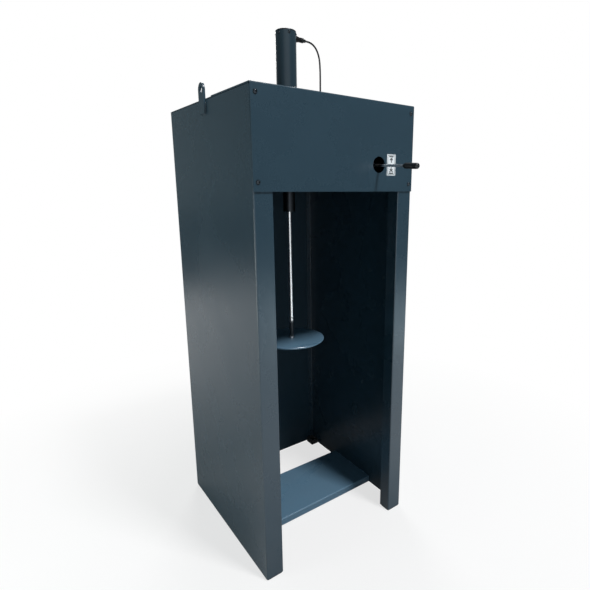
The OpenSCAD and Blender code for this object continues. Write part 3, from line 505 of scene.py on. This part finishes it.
def moulded(name, light, dark, rough, bumps=700.0, depth=0.0002, dust=0.2, sheen=0.0):
    """Rubber or moulded plastic: fine grain, dust where it settles, paler rubbed corners."""
    material, tree, shader, place = start_material(name)
    tone = effect(tree, TONE, place, Patch=30.0, Speckle=600.0, Fine=0.5)
    base = blend_colour(tree, tone, colour(*dark), colour(*light))
    worn = effect(tree, EDGES, place, Reach=0.001, Amount=0.5)
    base = blend_colour(tree, worn, base, colour(*[min(1.0, 2.6 * c + 0.03) for c in light]))
    dusty = effect(tree, DUST, place, Floor_Height=0.04, Amount=dust)
    base = blend_colour(tree, dusty, base, colour(0.2, 0.19, 0.175))
    tree.links.new(base, shader.inputs["Base Color"])
    gloss = spread(tree, tone, 0.0, 1.0, rough - 0.06, rough + 0.08)
    tree.links.new(gloss, shader.inputs["Roughness"])
    shader.inputs["Sheen Weight"].default_value = sheen
    height = effect(tree, PEEL, place, Bumps=bumps, Swell=20.0, Swell_Share=0.3)
    relief(tree, shader, height, depth)
    return material


# ---------------------------------------------------------------- finishes

PAINT = ((0.025, 0.058, 0.084), (0.0232, 0.0542, 0.079))
COAT = powder_coat("anthracite_coat", *PAINT, rough=0.27, dust=0.14, wear_and_highlight=0.1)
INNER_COAT = powder_coat(
    "anthracite_coat_inside",
    (0.024, 0.05, 0.07),
    (0.022, 0.046, 0.065),
    rough=0.36,
    dust=0.2,
    wear_and_highlight=0.2,
)
BACK_COAT = powder_coat(
    "anthracite_coat_back", *PAINT, rough=0.33, dust=0.14, wear_and_highlight=0.1, shine=0.3
)
# the anthracite paint painted several times paler: painted light standing in for the light that
# falls on the upward faces of the press plate and platform
PAINTED_LIT_COAT = powder_coat(
    "press_plate_coat_painted_lighter",
    (0.11, 0.212, 0.302),
    (0.102, 0.198, 0.283),
    rough=0.28,
    dust=0.08,
    # a high share here paints a highlight along the folds and rims
    wear_and_highlight=0.9,
)
BARREL_COAT = powder_coat(
    "barrel_enamel",
    (0.022, 0.045, 0.062),
    (0.019, 0.04, 0.055),
    rough=0.3,
    dust=0.06,
    wear_and_highlight=0.1,
    swell=0.2,
    shine=0.36,
)
CHROME = metal(
    "hard_chrome",
    (0.97, 0.97, 0.97),
    (0.93, 0.94, 0.95),
    rough=0.3,
    patch=25.0,
    along=(300.0, 300.0, 3.0),
    lines=0.1,
)
STEEL_BAR = metal(
    "lever_steel",
    (0.8, 0.82, 0.84),
    (0.66, 0.68, 0.71),
    rough=0.27,
    patch=60.0,
    along=(300.0, 6.0, 300.0),
    lines=0.3,
)
ZINC = metal("bright_zinc", (0.62, 0.66, 0.7), (0.45, 0.48, 0.52), 0.34, 70.0)
GROUND = metal("ground_steel", (0.7, 0.71, 0.72), (0.56, 0.57, 0.58), 0.25, 90.0)
OXIDE = metal("black_oxide", (0.07, 0.085, 0.1), (0.025, 0.03, 0.036), 0.27, 120.0, lines=0.15)
ANODISED = metal("black_anodised", (0.05, 0.056, 0.062), (0.03, 0.034, 0.04), 0.38, lines=0.1)
MACHINED = metal("machined_alloy", (0.66, 0.68, 0.7), (0.54, 0.56, 0.58), 0.3, 50.0)
BRASS = metal("turned_brass", (0.72, 0.56, 0.27), (0.56, 0.42, 0.18), 0.27, 80.0)
BRONZE = metal("sintered_bronze", (0.52, 0.36, 0.18), (0.34, 0.22, 0.1), 0.5, 400.0)
RUBBER = moulded("black_rubber", (0.02, 0.021, 0.023), (0.011, 0.012, 0.013), 0.62, sheen=0.1)
SEAL = moulded("polyurethane_seal", (0.05, 0.16, 0.11), (0.03, 0.11, 0.075), 0.4, dust=0.0)
PLASTIC = moulded(
    "moulded_black",
    (0.009, 0.0105, 0.0125),
    (0.006, 0.007, 0.0085),
    rough=0.34,
    bumps=900.0,
    depth=0.0001,
)
HOSE = moulded(
    "black_hose",
    (0.009, 0.0105, 0.012),
    (0.006, 0.007, 0.008),
    rough=0.42,
    bumps=500.0,
    depth=0.00006,
    dust=0.1,
)
BLUE_HOSE = moulded("blue_hose", (0.02, 0.09, 0.27), (0.015, 0.06, 0.2), 0.3, 500.0, 0.00006, 0.0)
VINYL = moulded("white_vinyl", (0.93, 0.97, 0.98), (0.9, 0.94, 0.95), 0.36, 500.0, 0.00005, 0.0)
INK = moulded("dark_print", (0.014, 0.018, 0.021), (0.01, 0.013, 0.015), 0.45, 500.0, 0.00002, 0.0)

# painted shade: a dull dark band on the rod's lowest 90 mm stands in for shade and dark reflection
PAINTED_SHADE_FROM, PAINTED_SHADE_TO = 0.006, 0.094
rod_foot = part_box("press_plate")[1].z
painted_dark_foot(CHROME, rod_foot + PAINTED_SHADE_FROM, rod_foot + PAINTED_SHADE_TO)

FINISH_OF = {
    COAT: "left_side_panel right_side_panel front_cover roof_panel left_lifting_lug "
    "right_lifting_lug",
    BACK_COAT: "back_panel",
    INNER_COAT: "compartment_floor front_cross_beam rear_cross_beam platform_channel",
    # press plate and platform take the paint painted paler as light on their upward faces
    PAINTED_LIT_COAT: "press_plate press_platform",
    BARREL_COAT: "cylinder_barrel",
    CHROME: "piston_rod",
    STEEL_BAR: "lever_rod",
    ZINC: "cylinder_mount_plate cover_rivet_nuts beam_bolts piston_nut plate_washer plate_screw "
    "valve_bracket lever_hub",
    OXIDE: "cover_screws back_panel_screws roof_screws head_bolts barrel_screws valve_screws",
    ANODISED: "rear_head front_head valve_cap",
    MACHINED: "piston valve_block valve_clevis",
    GROUND: "valve_spool lever_pin",
    SEAL: "rod_seal rod_wiper",
    BRONZE: "rod_bush exhaust_silencers",
    BRASS: "valve_fittings rod_end_fitting inlet_coupling",
    PLASTIC: "cap_end_fitting lever_grip",
    RUBBER: "platform_pads front_left_foot front_right_foot rear_left_foot rear_right_foot "
    "end_bumpers barrel_roof_seal piston_rings roof_grommet",
    HOSE: "cap_side_hose",
    BLUE_HOSE: "inner_hoses",
}
for finish, names in FINISH_OF.items():
    for node_name in names.split():
        for place_in_node in nodes[node_name].material_slots:
            place_in_node.material = finish

# ---------------------------------------------------------------- hoses

HOSE_D = 0.0079
ROOF_UNDER = 1.9945
CAP_FITTING_END = (0.100, 0.0, 2.301)
ROD_FITTING_END = (0.080, 0, 1.664)
INLET_HOSE_START = (0.195, 0.375, 1.85)
ROOF_HOSE_X = 0.185
LEVER_X = 0.195
PORT_Y = -0.292
PORT_Z = (1.791, 1.809, 1.827, 1.845, 1.863)


def part_way(a, b, shares):
    """Points between a and b, by their shares of the way along X, Y and Z."""
    a, b = np.asarray(a, float), np.asarray(b, float)
    return a + (b - a) * np.asarray(shares, float)


def port_mouth(i):
    """Middle of the mouth of the valve's fitting number i, counted from the lowest."""
    return (LEVER_X, PORT_Y, PORT_Z[i])


# the arch beside the barrel: across and up from the fitting's end, in millimetres
ARCH = np.array(
    [(0, 0), (12, 0), (30, -2), (48, -10), (63, -24), (74, -44), (81, -69), (84, -102), (85, -142)]
)
cap_x, _, cap_z = CAP_FITTING_END
over = np.stack([cap_x + ARCH[:, 0] / 1000, 0 * ARCH[:, 0], cap_z + ARCH[:, 1] / 1000], 1)
roof_entry = (ROOF_HOSE_X, 0, ROOF_UNDER)
down = part_way(over[-1], roof_entry, [(0, 0, 1 / 3), (0, 0, 2 / 3), (0, 0, 1)])
back = part_way(
    roof_entry,
    port_mouth(3),
    [
        (0.1, 0.015, 0.27),
        (0.3, 0.08, 0.53),
        (0.5, 0.22, 0.75),
        (0.7, 0.41, 0.91),
        (0.9, 0.63, 0.985),
        (1, 0.84, 1),
        (1, 1, 1),
    ],
)
cap_line = smooth_line(np.vstack([over, down, back]), 5)
cap_hose = build(
    "cap_hose_tube",
    [(tube(cap_line, HOSE_D / 2, (0.1, 1, 0.15)), TUBE)],
    "cabinet",
    HOSE,
)
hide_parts("cap_side_hose")

rod_line = smooth_line(
    part_way(
        ROD_FITTING_END,
        port_mouth(1),
        [
            (0, 0, 0),
            (0.19, 0, 0),
            (0.43, 0.02, 0.03),
            (0.68, 0.09, 0.13),
            (0.84, 0.21, 0.32),
            (0.94, 0.38, 0.57),
            (0.99, 0.58, 0.83),
            (1, 0.8, 0.97),
            (1, 1, 1),
        ],
    ),
    6,
)
bow = np.array([0, 0, 2, 7, 10, 8, 3, 0, 0]) / 1000
supply_points = part_way(
    INLET_HOSE_START,
    port_mouth(2),
    [
        (0, 0, 0),
        (0, 0.06, 0),
        (0, 0.19, 0.17),
        (0, 0.37, 0.7),
        (0, 0.55, 1.09),
        (0, 0.73, 1.26),
        (0, 0.87, 1.09),
        (0, 0.94, 1),
        (0, 1, 1),
    ],
)
supply_points[:, 0] += bow
supply_line = smooth_line(supply_points, 6)
inner_hoses = build(
    "inner_hose_tubes",
    [
        (tube(rod_line, HOSE_D / 2, (1, 0.4, -1)), TUBE),
        (tube(supply_line, HOSE_D / 2, (0.1, 0, 1)), TUBE),
    ],
    "cabinet",
    BLUE_HOSE,
)
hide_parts("inner_hoses")

# ---------------------------------------------------------------- label

FACE_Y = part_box("front_cover")[0].y
LABEL_X, LABEL_Z = 0.2656, 1.747
LABEL_W, LABEL_H = 0.05, 0.0885


def rounded_outline(width, height, radius, corner=6):
    """Closed outline of a rectangle whose corners are quarter circles of the radius."""
    turn = np.linspace(0, np.pi / 2, corner)
    signs = ((1, 1), (-1, 1), (-1, -1), (1, -1))
    arcs = [
        np.stack(
            [
                sx * (width / 2 - radius) + radius * np.cos(turn + k * np.pi / 2),
                sz * (height / 2 - radius) + radius * np.sin(turn + k * np.pi / 2),
            ],
            1,
        )
        for k, (sx, sz) in enumerate(signs)
    ]
    return np.vstack(arcs)


def on_cover(flat, lift):
    """Points of a drawing (right, up) round the label's centre, lift in front of the cover."""
    shape = np.asarray(flat, float)
    y = np.full(shape.shape[:-1], FACE_Y - lift)
    return np.stack([LABEL_X + shape[..., 0], y, LABEL_Z + shape[..., 1]], -1)


def sticker(outline, low, high):
    """Thin plate: the outline at two lifts, drawn in by a hair at the top so its rim is soft."""
    inset = outline * (1 - 0.0004 / np.abs(outline).max())
    return np.stack([on_cover(outline, low), on_cover(outline, high * 0.7), on_cover(inset, high)])


def stroke(start, end, width, low, high):
    """Straight stroke from start to end: a flat section of the width, carried along it."""
    start, end = np.asarray(start, float), np.asarray(end, float)
    across = unit(np.array([-(end - start)[1], (end - start)[0]])) * width / 2
    rows = []
    for point in (start, end):
        a, b = point + across, point - across
        rows.append(
            np.stack([on_cover(a, low), on_cover(a, high), on_cover(b, high), on_cover(b, low)])
        )
    return np.stack(rows)


def frame_line(width, height, thick, low, high):
    """Thin frame: a flat section carried round a rounded rectangle."""
    outer = rounded_outline(width, height, 0.0016)
    inner = outer * (1 - 2 * thick / np.array([width, height]))
    corners = ((outer, low), (outer, high), (inner, high), (inner, low))
    return np.stack([on_cover(line, lift) for line, lift in corners], 1)


def arrow(x, tail, tip, head_w, head_h, width):
    """Strokes of an upright arrow from tail to tip: a shaft and the two edges of its head."""
    back = tip - math.copysign(head_h, tip - tail)
    shaft = ((x, tail), (x, 0.5 * (back + tip)), width)
    return [shaft] + [((x + side * head_w / 2, back), (x, tip), width) for side in (-1, 1)]


build(
    "direction_label",
    [(sticker(rounded_outline(LABEL_W, LABEL_H, 0.002), 0.0, 0.0003), TUBE)],
    "cabinet",
    VINYL,
)
PRINT_LOW, PRINT_HIGH = 0.0002, 0.00042
FRAME_W, FRAME_H = LABEL_W - 0.008, LABEL_H - 0.0085
STROKE = 0.0042
BAR = 0.0125
strokes = arrow(0, 0.01, 0.0285, 0.0155, 0.008, STROKE)
strokes += arrow(0, -0.0095, -0.0245, 0.0155, 0.007, STROKE)
strokes += [((side * 0.0035, -0.0258), (side * 0.0095, -0.0296), STROKE) for side in (-1, 1)]
strokes += [((-BAR, height), (BAR, height), STROKE) for height in (-0.0346, 0.0346)]
print_parts = [(stroke(a, b, w, PRINT_LOW, PRINT_HIGH), TUBE) for a, b, w in strokes]
print_parts.append((frame_line(FRAME_W, FRAME_H, 0.0017, PRINT_LOW, PRINT_HIGH), RING))
build("label_print", print_parts, "cabinet", INK)

# ---------------------------------------------------------------- welds


def bead(start, end, side_a, side_b, size, pitch=0.0026):
    """Weld bead in a corner: a quarter-round section between the two walls, carried along the
    corner. Its size swells once every pitch, and each swell trails behind in the middle."""
    start, end = np.asarray(start, float), np.asarray(end, float)
    length = float(np.linalg.norm(end - start))
    rows = max(12, int(length / pitch * 6))
    s = np.linspace(0, 1, rows)[:, None]
    angle = np.linspace(0, np.pi / 2, 9)[None, :]
    lag = 0.5 * np.sin(2 * angle)
    swell = 1 + 0.1 * np.cos(2 * np.pi * (s * length / pitch + lag))
    ends = np.sqrt(np.clip(1 - np.abs(2 * s - 1) ** 14, 0.02, 1))
    r = size * swell * ends * (0.86 + 0.14 * np.cos(4 * (angle - np.pi / 4)))
    a, b = np.asarray(side_a, float), np.asarray(side_b, float)
    line = start + (end - start) * s
    out = (
        line[:, None, :]
        + (r * np.cos(angle))[..., None] * a
        + (r * np.sin(angle))[..., None] * b
    )
    root = line[:, None, :] - 0.0004 * (a + b)
    return np.concatenate([out, root], 1)


LUG_BEAD, STITCH_BEAD = 0.0042, 0.0036
BELOW_ROOF = 0.012
STITCH_Y = (-0.11, -0.006, 0.098)
STITCH_LEN = 0.034


def lug_welds(name, node, outwards):
    """Beads round the part of a lifting lug that lies on the side panel."""
    low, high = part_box(node)
    wall = (low if outwards > 0 else high).x
    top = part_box("roof_panel")[1].z - BELOW_ROOF
    foot_front, foot_back = (wall, low.y, low.z), (wall, high.y, low.z)
    runs = (
        (foot_front, foot_back, (0, 0, -1)),
        (foot_front, (wall, low.y, top), (0, -1, 0)),
        (foot_back, (wall, high.y, top), (0, 1, 0)),
    )
    parts = [(bead(a, b, (outwards, 0, 0), side, LUG_BEAD), TUBE) for a, b, side in runs]
    build(name, parts, "cabinet", COAT, 60)


lug_welds("left_lug_weld", "left_lifting_lug", -1)
lug_welds("right_lug_weld", "right_lifting_lug", 1)

platform_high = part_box("press_platform")[1]
stitches = []
for side in (-1, 1):
    wall = side * (platform_high.x - 0.00005)
    for middle in STITCH_Y:
        start, end = (
            (wall, middle + way * STITCH_LEN / 2, platform_high.z) for way in (-1, 1)
        )
        stitches.append((bead(start, end, (-side, 0, 0), (0, 0, 1), STITCH_BEAD), TUBE))
# the stitch welds take the paint painted paler as light on the platform's top
build("platform_stitch_welds", stitches, "cabinet", PAINTED_LIT_COAT, 60)

# ---------------------------------------------------------------- grip

LEVER_SLOPE = math.radians(2.5)
LEVER_D = 0.011
GRIP_FROM, GRIP_LEN = 0.207, 0.081
lever_way = np.array([0, -math.cos(LEVER_SLOPE), -math.sin(LEVER_SLOPE)])
grip_start = np.array(joint_rows["lever_tilt"]["pos_m"]) + GRIP_FROM * lever_way
grip_low, grip_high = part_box("lever_grip")
GRIP_R = 0.5 * (grip_high.x - grip_low.x)


def grip_profile():
    """Radius along the grip: a quarter-sine shoulder, a body with a slight belly and five shallow
    finger grooves (raised cosines, squared), and an elliptical end."""
    t = np.linspace(0, 1, 240)
    shoulder = 0.6 + 0.4 * np.sin(0.5 * np.pi * np.clip(t / 0.15, 0, 1))
    belly = 0.95 + 0.05 * np.sin(np.pi * np.clip((t - 0.1) / 0.9, 0, 1))
    grooves = 0.035 * np.clip(np.cos(2 * np.pi * (t - 0.3) / 0.09), 0, 1) ** 2
    grooves *= (t > 0.27) & (t < 0.72)
    end = np.sqrt(np.clip(1 - np.clip((t - 0.9) / 0.1, 0, 1) ** 2, 0, 1))
    profile = np.stack([GRIP_R * shoulder * (belly - grooves) * end, t * GRIP_LEN], 1)
    hollow = LEVER_D / 2 + 0.0002
    return np.vstack([[(hollow, 0.012), (hollow, 0.0)], profile[:-1], [(0.0, GRIP_LEN)]])


grip = build(
    "grip_sleeve",
    [(turned(grip_profile(), grip_start, lever_way, 56), TUBE)],
    "lever",
    PLASTIC,
    50,
)
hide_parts("lever_grip")

# ---------------------------------------------------------------- springs

WIRE_D = 0.0014
SPRING_TURNS = 4
TURN_STEPS = 36
END_EASE = 0.25


def centring_spring(name, node):
    """Coil spring: a round wire along a helix whose rise slows towards both ends (a straight rise
    with a share of the smooth step 3t^2 - 2t^3)."""
    low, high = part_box(node)
    x, y = 0.5 * (low.x + high.x), 0.5 * (low.y + high.y)
    radius = 0.5 * (high.x - low.x - WIRE_D)
    t = np.linspace(0, 1, TURN_STEPS * SPRING_TURNS + 1)
    angle = 2 * np.pi * SPRING_TURNS * t
    eased = (1 - END_EASE) * t + END_EASE * (3 * t**2 - 2 * t**3)
    height = low.z + WIRE_D / 2 + (high.z - low.z - WIRE_D) * eased
    line = np.stack([x + radius * np.cos(angle), y + radius * np.sin(angle), height], 1)
    spring = build(
        name, [(tube(line, WIRE_D / 2, (0, 0, 1), 10), TUBE)], "cabinet", GROUND
    )
    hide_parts(node)
    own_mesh(spring)


centring_spring("lower_spring_coil", "lower_centring_spring")
centring_spring("upper_spring_coil", "upper_centring_spring")

# ---------------------------------------------------------------- room

WORLD_LEVEL = 0.225
FLOOR_REACH = 30.0
# white walls that a gloss sees: the way to each one's middle, and the dot products with that way
# between which it fades in
WHITE_WALLS = (
    (unit(np.array([0.574, 0.819, -0.08])), 0.74, 0.82),
    (unit(np.array([-0.4, -0.9, 0.1])), 0.78, 0.9),
)
# white parts of the floor: distances from the middle, or places along X or Y, between which each
# fades
SEEN_WHITE = (0.7, 2.4)
FRONT_WHITE = (0.3, 1.2)
FRONT_RIGHT_DARK = (2.8, 5.5)
RIGHT_SIDE_X = (-0.8, 0.6)
REAR_WHITE, REAR_LEVEL = (0.5, 4.5), 0.88
REAR_SIDE_Y = (-0.6, 0.6)
HORIZON_Y = (4.5, 6.0)


def seen_directly(tree):
    """Masks of the rays that may see the white surroundings: camera rays, and rays that a gloss or
    a clear solid sends on."""
    path = tree.nodes.new("ShaderNodeLightPath").outputs
    sent_on = sums(tree, "MAXIMUM", path["Is Glossy Ray"], path["Is Transmission Ray"])
    return path["Is Camera Ray"], sent_on


def make_floor():
    """Pale floor that keeps the object's shadow and fades to white a few steps away from it. A
    gloss sees it white as well, in front, on the left and behind."""
    mesh = bpy.data.meshes.new("floor")
    r = FLOOR_REACH
    mesh.from_pydata([(-r, -r, 0), (r, -r, 0), (r, r, 0), (-r, r, 0)], [], [(0, 1, 2, 3)])
    floor = bpy.data.objects.new("floor", mesh)
    scene.collection.objects.link(floor)
    material, tree, shader, place = start_material("pale_floor")
    camera_ray, sent_on = seen_directly(tree)
    tone = effect(tree, TONE, place, Patch=1.5, Speckle=60.0, Fine=0.4)
    pale = blend_colour(tree, tone, colour(0.76, 0.76, 0.75), colour(0.8, 0.8, 0.79))
    tree.links.new(
        blend_colour(tree, camera_ray, colour(0.3, 0.3, 0.3), pale), shader.inputs["Base Color"]
    )
    shader.inputs["Roughness"].default_value = 0.8
    away = put(tree, "ShaderNodeVectorMath", {"operation": "LENGTH"}, i0=place).outputs["Value"]
    parted = put(tree, "ShaderNodeSeparateXYZ", None, i0=place).outputs
    to_camera = product(tree, spread(tree, away, *SEEN_WHITE, 0.7, 1.0), camera_ray)
    right = product(
        tree, spread(tree, away, *FRONT_RIGHT_DARK), spread(tree, parted[0], *RIGHT_SIDE_X)
    )
    in_front = product(
        tree,
        spread(tree, away, *FRONT_WHITE),
        sums(tree, "SUBTRACT", 1.0, right, True),
        spread(tree, parted[1], *REAR_SIDE_Y, 1.0, 0.0),
    )
    behind = product(
        tree,
        spread(tree, away, *REAR_WHITE, 0.0, REAR_LEVEL),
        spread(tree, parted[1], *REAR_SIDE_Y),
    )
    to_gloss = product(
        tree,
        sums(tree, "ADD", in_front, behind),
        spread(tree, parted[1], *HORIZON_Y, 1.0, 0.0),
        sent_on,
    )
    glow = put(tree, "ShaderNodeEmission", None, Color=colour(1, 1, 1), Strength=1.0)
    mixed = put(
        tree,
        "ShaderNodeMixShader",
        None,
        i0=sums(tree, "MAXIMUM", to_camera, to_gloss),
        i1=shader.outputs[0],
        i2=glow.outputs[0],
    )
    tree.links.new(mixed.outputs[0], tree.nodes["Material Output"].inputs["Surface"])
    mesh.materials.append(material)


def make_world():
    """Dim cool room light. The camera sees it white, and a gloss sees two white walls in it."""
    world = bpy.data.worlds.new("room")
    scene.world = world
    world.use_nodes = True
    tree = world.node_tree
    room = tree.nodes["Background"]
    room.inputs["Color"].default_value = colour(0.78, 0.94, 1.0)
    room.inputs["Strength"].default_value = WORLD_LEVEL
    white = put(tree, "ShaderNodeBackground", None, Color=colour(1, 1, 1), Strength=1.0)
    way = tree.nodes.new("ShaderNodeTexCoord").outputs["Generated"]
    walls = [
        spread(tree, likeness(tree, way, tuple(towards)), low, high)
        for towards, low, high in WHITE_WALLS
    ]
    camera_ray, sent_on = seen_directly(tree)
    to_gloss = product(tree, sums(tree, "MAXIMUM", *walls), sent_on)
    mixed = put(
        tree,
        "ShaderNodeMixShader",
        None,
        i0=sums(tree, "MAXIMUM", camera_ray, to_gloss),
        i1=room.outputs[0],
        i2=white.outputs[0],
    )
    tree.links.new(mixed.outputs[0], tree.nodes["World Output"].inputs["Surface"])


def lamp(name, at, towards, size, power, tint):
    """Rectangular soft lamp that faces a point."""
    data = bpy.data.lights.new(name, "AREA")
    data.shape = "RECTANGLE"
    data.size, data.size_y = size
    data.energy = power
    data.color = tint
    thing = bpy.data.objects.new(name, data)
    thing.location = at
    aim = Vector(towards) - Vector(at)
    thing.rotation_euler = aim.to_track_quat("-Z", "Y").to_euler()
    scene.collection.objects.link(thing)


make_floor()
make_world()
lamp("key_lamp", (1.15, -3.6, 7.8), (0.1, -0.4, 1.2), (1.1, 1.1), 520, (0.98, 0.97, 0.99))
lamp("left_lamp", (-2.6, 0.2, 0.8), (-0.4, 0.0, 0.8), (0.8, 1.2), 19, (0.9, 0.98, 0.93))
lamp("low_lamp", (1.8, -2.8, 0.2), (0, -0.4, 0.9), (2.4, 0.3), 8, (0.7, 0.9, 1.0))
lamp("front_lamp", (-1.6, -4.0, 1.4), (0, -0.3, 1.0), (1.4, 1.4), 5, (0.72, 0.84, 1.0))
lamp("rear_lamp", (1.8, 4.0, 4.2), (0, 0.2, 1.2), (2.0, 2.0), 120, (1.0, 0.99, 0.97))
